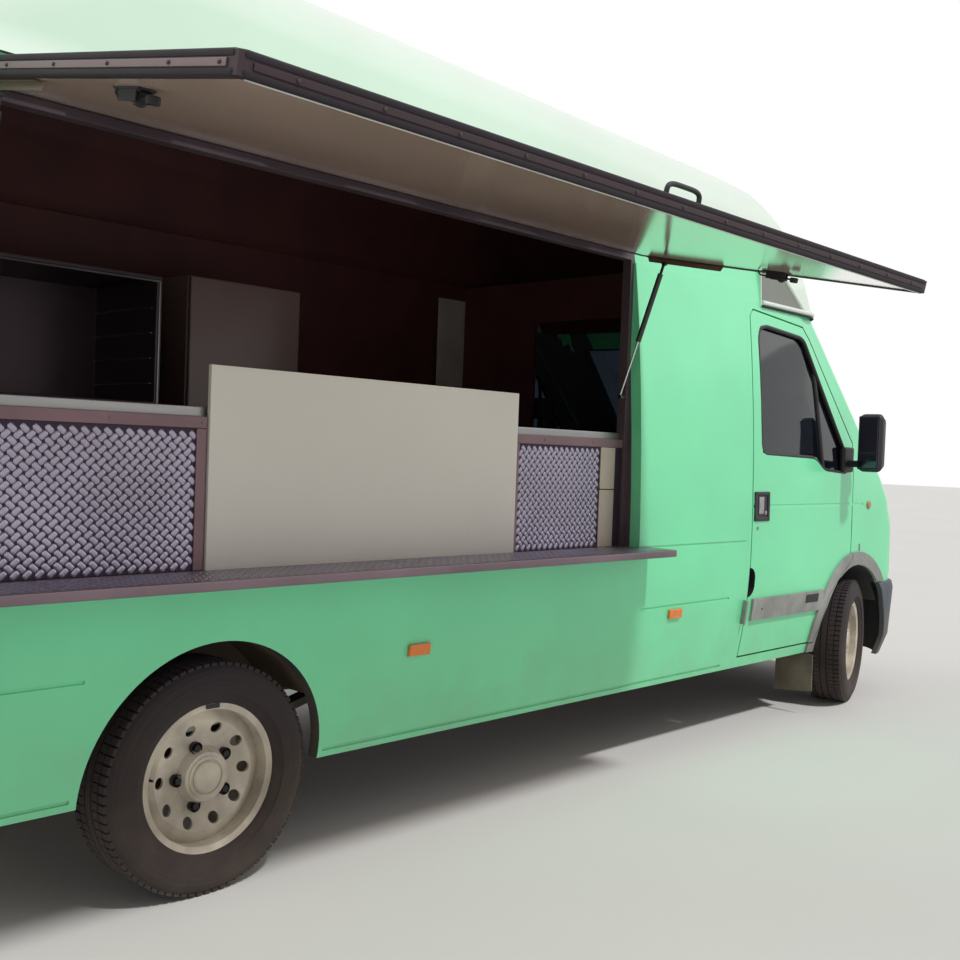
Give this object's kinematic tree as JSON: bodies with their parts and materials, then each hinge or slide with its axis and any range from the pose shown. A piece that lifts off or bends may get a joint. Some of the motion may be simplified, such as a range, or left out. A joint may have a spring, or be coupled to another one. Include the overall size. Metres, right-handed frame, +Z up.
{
  "type": "food truck",
  "caption": "Food truck made from a long high-roof panel van, with a serving hatch held open by gas struts, a counter shelf and a kitchen inside.",
  "frame": {"origin": "on the ground under the middle of the whole outline with the hatch open", "axes": "+X forward to the cab, +Y to the left side, +Z up; the serving hatch is on the right, -Y side"},
  "size_m": [5.899, 3.3238, 2.818],
  "materials": {
    "body_paint": "satin",
    "roof_paint": "satin",
    "door_paint": "satin",
    "cab_glass": "gloss",
    "floor_board": "matte",
    "chassis_steel": "matte",
    "engine_metal": "matte",
    "axle_steel": "matte",
    "knuckle_steel": "matte",
    "rim_steel": "satin",
    "tyre_rubber": "matte",
    "frame_aluminium": "satin",
    "shelf_board": "satin",
    "tread_plate": "satin",
    "white_board": "matte",
    "worktop_steel": "satin",
    "appliance_steel": "satin",
    "fridge_white": "satin",
    "bulkhead_board": "matte",
    "seat_fabric": "matte",
    "dash_plastic": "matte",
    "grille_plastic": "matte",
    "lamp_lens": "gloss",
    "bumper_plastic": "matte",
    "tail_lens": "gloss",
    "marker_orange": "gloss",
    "liner_plastic": "matte",
    "trim_plastic": "matte",
    "hinge_steel": "satin",
    "hatch_skin": "satin",
    "hatch_lining": "satin",
    "strut_black": "satin",
    "strut_rod": "gloss",
    "fitting_plastic": "matte",
    "tank_plastic": "matte"
  },
  "bodies": {
    "body": {"load_body": "body_paint", "roof": "roof_paint", "cab_frame": "body_paint", "windscreen": "cab_glass", "floor": "floor_board", "chassis": "chassis_steel", "engine": "engine_metal", "rear_axle": "axle_steel", "front_subframe": "axle_steel", "serving_frame": "frame_aluminium", "shelf": "shelf_board", "tread_panels": "tread_plate", "board": "white_board", "worktops": "worktop_steel", "oven": "appliance_steel", "fridge": "fridge_white", "bulkheads": "bulkhead_board", "seats": "seat_fabric", "dashboard": "dash_plastic", "grille": "grille_plastic", "headlamps": "lamp_lens", "front_bumper": "bumper_plastic", "tail_lamps": "tail_lens", "rear_bumper": "bumper_plastic", "side_markers": "marker_orange", "arch_liners": "liner_plastic", "arch_trims": "trim_plastic", "hatch_hinge": "hinge_steel", "tank_and_exhaust": "tank_plastic"},
    "hatch": {"hatch": "hatch_skin", "hatch_lining": "hatch_lining", "hatch_fittings": "fitting_plastic"},
    "tube_front": {"strut_tube_front": "strut_black"},
    "rod_front": {"strut_rod_front": "strut_rod"},
    "tube_rear": {"strut_tube_rear": "strut_black"},
    "rod_rear": {"strut_rod_rear": "strut_rod"},
    "door_right": {"cab_door_right": "door_paint", "door_glass_right": "cab_glass", "door_fittings_right": "fitting_plastic"},
    "door_left": {"cab_door_left": "door_paint", "door_glass_left": "cab_glass", "door_fittings_left": "fitting_plastic"},
    "rear_leaf_left": {"rear_door_left": "door_paint"},
    "rear_leaf_right": {"rear_door_right": "door_paint"},
    "bonnet": {"bonnet": "door_paint"},
    "knuckle_left": {"knuckle_left": "knuckle_steel"},
    "knuckle_right": {"knuckle_right": "knuckle_steel"},
    "wheel_front_left": {"rim_front_left": "rim_steel", "tyre_front_left": "tyre_rubber"},
    "wheel_front_right": {"rim_front_right": "rim_steel", "tyre_front_right": "tyre_rubber"},
    "wheel_rear_left": {"rim_rear_left": "rim_steel", "tyre_rear_left": "tyre_rubber"},
    "wheel_rear_right": {"rim_rear_right": "rim_steel", "tyre_rear_right": "tyre_rubber"}
  },
  "joints": [
    {"name": "hatch_hinge", "type": "hinge", "parent": "body", "child": "hatch", "pos_m": [-1.3765, -0.47305, 2.16], "axis": [1, 0, 0], "range_deg": [0, 77.2]},
    {"name": "tube_front_swing", "type": "hinge", "parent": "hatch", "child": "tube_front", "pos_m": [-0.0275, -0.61486, 2.07864], "axis": [1, 0, 0], "range_deg": [-97.18, 0.3]},
    {"name": "rod_front_slide", "type": "slide", "parent": "tube_front", "child": "rod_front", "axis": [0, 0.3411, -0.94], "range_m": [-0.1097, 0.001]},
    {"name": "tube_rear_swing", "type": "hinge", "parent": "hatch", "child": "tube_rear", "pos_m": [-2.6975, -0.61486, 2.07864], "axis": [1, 0, 0], "range_deg": [-97.18, 0.3]},
    {"name": "rod_rear_slide", "type": "slide", "parent": "tube_rear", "child": "rod_rear", "axis": [0, 0.3411, -0.94], "range_m": [-0.1097, 0.001]},
    {"name": "door_right_hinge", "type": "hinge", "parent": "body", "child": "door_right", "pos_m": [2.0455, -0.51305, 1.1], "axis": [0, 0, 1], "range_deg": [0, 70]},
    {"name": "door_left_hinge", "type": "hinge", "parent": "body", "child": "door_left", "pos_m": [2.0455, 1.47695, 1.1], "axis": [0, 0, -1], "range_deg": [0, 70]},
    {"name": "rear_door_left_hinge", "type": "hinge", "parent": "body", "child": "rear_leaf_left", "pos_m": [-2.9275, 1.30095, 1.38], "axis": [0, 0, -1], "range_deg": [0, 180]},
    {"name": "rear_door_right_hinge", "type": "hinge", "parent": "body", "child": "rear_leaf_right", "pos_m": [-2.9275, -0.33705, 1.38], "axis": [0, 0, 1], "range_deg": [0, 180]},
    {"name": "bonnet_hinge", "type": "hinge", "parent": "body", "child": "bonnet", "pos_m": [2.4975, 0.48195, 1.235], "axis": [0, -1, 0], "range_deg": [0, 55]},
    {"name": "steer_left", "type": "hinge", "parent": "body", "child": "knuckle_left", "pos_m": [2.0975, 1.27195, 0.335], "axis": [0, 0, 1], "range_deg": [-50, 20]},
    {"name": "steer_right", "type": "hinge", "parent": "body", "child": "knuckle_right", "pos_m": [2.0975, -0.30805, 0.335], "axis": [0, 0, 1], "range_deg": [-50, 20]},
    {"name": "spin_front_left", "type": "hinge", "parent": "knuckle_left", "child": "wheel_front_left", "pos_m": [2.07731, 1.34729, 0.335], "axis": [-0.2588, 0.9659, 0], "continuous": true},
    {"name": "spin_rear_left", "type": "hinge", "parent": "body", "child": "wheel_rear_left", "pos_m": [-1.9805, 1.34995, 0.335], "axis": [0, 1, 0], "continuous": true},
    {"name": "spin_front_right", "type": "hinge", "parent": "knuckle_right", "child": "wheel_front_right", "pos_m": [2.11769, -0.38339, 0.335], "axis": [-0.2588, 0.9659, 0], "continuous": true},
    {"name": "spin_rear_right", "type": "hinge", "parent": "body", "child": "wheel_rear_right", "pos_m": [-1.9805, -0.38605, 0.335], "axis": [0, 1, 0], "continuous": true}
  ],
  "couplings": [
    {"joint": "steer_right", "follows": "steer_left", "ratio": 1},
    {"joint": "tube_front_swing", "follows": "hatch_hinge", "ratio": -1.2549},
    {"joint": "rod_front_slide", "follows": "hatch_hinge", "m_per_rad": -0.080645},
    {"joint": "tube_rear_swing", "follows": "hatch_hinge", "ratio": -1.2549},
    {"joint": "rod_rear_slide", "follows": "hatch_hinge", "m_per_rad": -0.080645}
  ]
}
